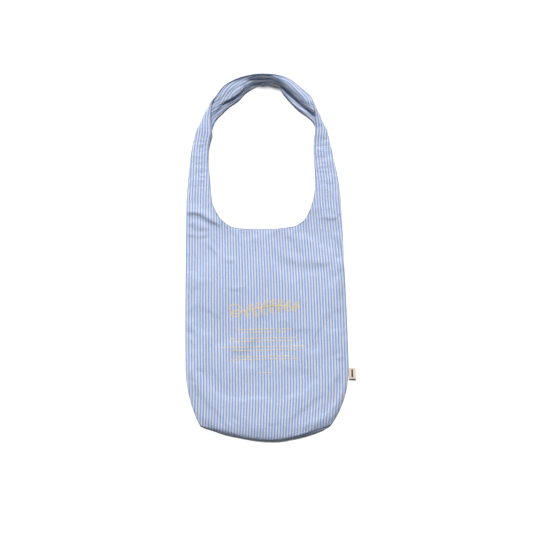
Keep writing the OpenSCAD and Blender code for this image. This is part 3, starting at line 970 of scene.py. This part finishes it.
front_edge = turned_edge("mouth_edge_front", FRONT_GRIDS, FRONT_PATTERNS, 1)
back_edge = turned_edge("mouth_edge_back", BACK_GRIDS, BACK_PATTERNS, -1)
seam_left = side_seam("side_seam_left_stitches", LEFT_FRONT, 0, 6)
seam_right = side_seam("side_seam_right_stitches", RIGHT_FRONT, -1, -7)
base_front = base_seam("base_seam_front_stitches", lambda u: SEAM_Z + base_rise(u) - 0.3, 0.15)
base_back = base_seam("base_seam_back_stitches", lambda u: 1.6 + 0 * u, 0.3)


def shoulder_seam():
    """The ridge where the two straps meet, across the front and the back half."""
    front = (LEFT_FRONT[-1] + RIGHT_FRONT[-1]) / 2
    back = (LEFT_BACK[-1] + RIGHT_BACK[-1]) / 2
    count = 40
    ring = resample(np.vstack([front, back[-2::-1]]), np.linspace(0.02, 0.98, count))
    pattern = np.stack([100 + 0 * ring[:, 0], length_along(ring)], -1)
    maker = Maker()
    maker.tube(ring, 0.9, pattern, out=np.tile([1.0, 0, 0], (count, 1)))
    return maker.build("shoulder_seam_ridge", CLOTH)


shoulder = shoulder_seam()


# ---- Print ----

bpy.context.view_layer.update()
FRONT_TREE = BVHTree.FromObject(front_cloth, bpy.context.evaluated_depsgraph_get())


def on_front(x, y):
    """Point on the front of the bag, in millimetres, a little above the cloth."""
    hit = FRONT_TREE.ray_cast(Vector((x * MM, y * MM, 0.1)), Vector((0, 0, -1)))[0]
    return [x, y, hit.z / MM + INK_T]


def stroke(maker, line, widths):
    """A flat stroke of ink, its width in millimetres at each point."""
    line = np.asarray(line, float)
    along = unit(np.gradient(line, axis=0))
    side = np.stack([-along[:, 1], along[:, 0]], -1)
    shares = np.array([-0.5, 0, 0.5])
    grid = np.array([[on_front(*(p + w * s * d)) for s in shares] for p, w, d in zip(line, widths, side)])
    maker.grid(grid, np.stack([stripes_at(grid[..., 0], grid[..., 1]), grid[..., 1]], -1), flip=True)


def pen(points, thick, thin):
    """A smooth line, a point every 1.2 mm, and its widths, thick in the middle and thin at the ends."""
    dense = smooth_through(points, np.linspace(0, len(points) - 1, 16 * len(points)))
    count = max(6, int(length_along(dense)[-1] / 1.2))
    t = np.linspace(0, 1, count)
    return resample(dense, t), thin + (thick - thin) * np.sin(math.pi * t) ** 0.8


def leaf(maker, root, turn, size):
    """A slender leaf: two bowed sides and a vein."""
    ahead = np.array([math.cos(turn), math.sin(turn)])
    across = np.array([-ahead[1], ahead[0]])
    for bow in (-1, 1):
        line = [root, root + ahead * size * 0.3 + across * bow * size * 0.15,
                root + ahead * size * 0.65 + across * bow * size * 0.13, root + ahead * size]
        stroke(maker, *pen(line, 1.5, 0.6))
    stroke(maker, *pen([root, root + ahead * size * 0.35, root + ahead * size * 0.72], 0.9, 0.5))


def sprig():
    """A generic sprig: a wavy stem with leaves and two curled tendrils."""
    low, high = box_mm("print_sprig")
    cx, cy = (low + high)[:2] / 2
    half = (high[0] - low[0]) / 2
    maker = Maker()
    stem = lambda t: np.array([cx + half * t, cy + 4.2 * math.sin(3.2 * t + 0.5) + 1.5 * t])
    stroke(maker, *pen([stem(t) for t in np.linspace(-0.72, 0.9, 14)], 1.9, 0.8))
    leaves = 7
    for k in range(leaves):
        t = -0.5 + 1.3 * k / (leaves - 1)
        size = 21 - 7 * abs(t - 0.05)
        for side in (-1, 1):
            leaf(maker, stem(t + 0.04 * side), side * math.radians(56 - 3 * k), size)
    leaf(maker, stem(0.88), math.radians(4), 13)
    for reach, turns, flip in ((17, 1.3, 1), (12, 1.2, -1)):
        hub = stem(-0.7) + np.array([-6.0, flip * 6.0])
        spiral = []
        for a in np.linspace(0, turns, 18):
            angle = flip * 0.3 - flip * (a * 2 * math.pi)
            way = np.array([math.cos(angle), 0.78 * math.sin(angle)])
            spiral.append(hub + reach * (1 - 0.62 * a / turns) * way)
        stroke(maker, *pen(spiral, 1.9, 0.7))
    return maker.build("printed_sprig", INK, weld=True, thickness=INK_T)


def rule_spans():
    """Left end, right end and height of each printed rule, from the CAD node's own boxes."""
    points = np.array([v.co for v in frame["nodes"]["print_rules"].data.vertices]) / MM
    heights = sorted(set(np.round(points[:, 1], 2)))
    spans = []
    for low, high in zip(heights[::2], heights[1::2]):
        xs = points[(points[:, 1] > low - 0.05) & (points[:, 1] < high + 0.05), 0]
        spans.append((xs.min(), xs.max(), (low + high) / 2))
    return spans


def rules():
    """Thin printed rules, each broken into uneven dashes."""
    random = np.random.default_rng(11)
    maker = Maker()
    for left, right, y in rule_spans():
        x = left
        while x < right - 2:
            long = min(random.uniform(3.0, 9.0), right - x)
            count = max(3, int(long / 1.4) + 1)
            line = np.stack([np.linspace(x, x + long, count), np.full(count, y)], -1)
            line[:, 1] += random.uniform(-0.15, 0.15)
            ends = np.minimum(1, np.minimum(np.arange(len(line)), np.arange(len(line))[::-1]) + 0.55)
            stroke(maker, line, random.uniform(1.35, 1.9) * ends)
            x += long + random.uniform(0.7, 1.5)
    return maker.build("printed_rules", INK, weld=True, thickness=INK_T)


print_sprig = sprig()
print_rules = rules()


# ---- Label ----


def label_bend(t):
    """How far the tab lifts and curls towards its free end, t from 0 to 1."""
    return 0.5 * t * t


def tape_wave(y):
    """Slight waves along the tab."""
    return 0.12 * math.sin(y / 5)


def label_tab():
    """A folded tape, its two ends in the side seam."""
    low, high = box_mm("label_tab")
    middle = (low[2] + high[2]) / 2
    radius = TAPE_T + TAPE_GAP / 2
    reach = high[0] - low[0] - radius
    arc = np.linspace(math.pi / 2, -math.pi / 2, 9)
    bend = radius - TAPE_T / 2
    line = [(t * reach, TAPE_GAP / 2 + TAPE_T / 2) for t in np.linspace(-0.12, 1, 12)]
    line += [(reach + bend * math.cos(a), bend * math.sin(a)) for a in arc[1:-1]]
    line += [(t * reach, -TAPE_GAP / 2 - TAPE_T / 2) for t in np.linspace(1, -0.12, 12)]
    ys = np.linspace(low[1], high[1], 20)

    def place(x, y, z):
        edge = 0.25 * math.sin(x / 4) * (1 if y > ys.mean() else -1)
        return [low[0] + x, y + edge, middle + z + label_bend(max(x, 0) / reach) + tape_wave(y)]

    grid = np.array([[place(x, y, z) for x, z in line] for y in ys])
    maker = Maker()
    maker.grid(grid, np.stack([grid[..., 0], grid[..., 1]], -1))
    return maker.build("label_tape_tab", TAPE, thickness=TAPE_T, offset=0)


def label_bar():
    """A plain dark bar woven into the tab, as a row of satin stitches."""
    low, high = box_mm("label_bar")
    tab_low, tab_high = box_mm("label_tab")
    t = ((low[0] + high[0]) / 2 - tab_low[0]) / (tab_high[0] - tab_low[0])
    top = (tab_low[2] + tab_high[2]) / 2 + TAPE_GAP / 2 + TAPE_T + label_bend(t) + 0.02
    maker = Maker()
    pitch, count = 0.42, 6
    arch = 0.1 * np.sin(np.linspace(0.15, math.pi - 0.15, count))
    for y in np.arange(low[1] + pitch / 2, high[1], pitch):
        xs = np.linspace(low[0], high[0], count)
        z = top + tape_wave(y) + arch
        maker.tube(np.stack([xs, np.full(count, y), z], -1), 0.24, sides=6, flat=0.7)
    return maker.build("label_bar_stitches", BAR)


tab = label_tab()
bar = label_bar()

# ---- Bodies and replaced nodes ----


def on_both(obj, slot, *nodes):
    """A piece that crosses the strap's fold."""
    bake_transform(obj)
    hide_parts(*nodes)


def on_one(obj, body, slot, *nodes):
    """A piece that belongs to one body."""
    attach(obj, body)
    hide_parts(*nodes)


on_both(front_cloth, "striped_cotton", "front_panel", "strap_left_front", "strap_right_front")
on_both(back_cloth, "striped_cotton", "back_panel", "strap_left_back", "strap_right_back")
on_both(front_lining, "lining_cotton", "front_lining", "strap_left_front_lining", "strap_right_front_lining")
on_both(back_lining, "lining_cotton", "back_lining", "strap_left_back_lining", "strap_right_back_lining")
on_both(front_edge, "striped_cotton", "mouth_seam_front", "strap_left_front_edge", "strap_right_front_edge")
on_both(back_edge, "striped_cotton", "mouth_seam_back", "strap_left_back_edge", "strap_right_back_edge")
on_both(seam_left, "seam_thread", "side_seam_left", "strap_left_side_seam")
on_both(seam_right, "seam_thread", "side_seam_right", "strap_right_side_seam")
on_one(base_cloth, "bag", "striped_cotton", "base_panel")
on_one(base_lining, "bag", "lining_cotton", "base_lining")
on_one(base_front, "bag", "seam_thread", "base_seam_front")
on_one(base_back, "bag", "seam_thread", "base_seam_back")
on_one(shoulder, "strap", "seam_thread", "shoulder_seam")
on_one(print_sprig, "bag", "print_ink", "print_sprig")
on_one(print_rules, "bag", "print_ink", "print_rules")
on_one(tab, "label", "label_cotton", "label_tab")
on_one(bar, "label", "label_bar_thread", "label_bar")


# ---- Floor, light and camera ----


def make_floor():
    """A white ground, wide enough to fill low views."""
    bm = bmesh.new()
    bmesh.ops.create_grid(bm, x_segments=2, y_segments=2, size=30.0)
    mesh = bpy.data.meshes.new("floor")
    bm.to_mesh(mesh)
    bm.free()
    floor = add_object("floor", mesh)
    mesh.materials.append(floor_material())
    floor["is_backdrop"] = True


def make_light():
    """One soft key from beyond the strap, 50 degrees up, and a weak even fill, a little blue."""
    sun = bpy.data.lights.new("key", "SUN")
    sun.energy = 4.7
    sun.angle = math.radians(13)
    lamp = add_object("key", sun)
    elevation = math.radians(50)
    towards = Vector((0.06, -math.cos(elevation), -math.sin(elevation)))
    lamp.rotation_mode = "QUATERNION"
    lamp.rotation_quaternion = towards.to_track_quat("-Z", "Y")
    world = bpy.data.worlds.new("studio")
    world.use_nodes = True
    fill = world.node_tree.nodes["Background"].inputs
    fill["Color"].default_value = (0.80, 0.88, 1, 1)
    fill["Strength"].default_value = 0.13
    bpy.context.scene.world = world


def make_camera():
    """Straight above, turned a little, with a long lens."""
    height, view_w, roll = 5.92, 1.066, math.radians(-1.2)
    camera = bpy.data.cameras.new("camera")
    camera.sensor_width = 36
    camera.lens = 36 * height / view_w
    camera.clip_start, camera.clip_end = 0.1, 100
    obj = add_object("camera", camera)
    obj.matrix_world = Matrix.Translation((0.003, 0.137, height)) @ Matrix.Rotation(roll, 4, "Z")
    bpy.context.scene.camera = obj


make_floor()
make_light()
make_camera()
bpy.context.scene.view_settings.view_transform = "Standard"

bpy.context.view_layer.update()
{"cad": CAD_BOX, "visual": [list(corner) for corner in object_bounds()]}
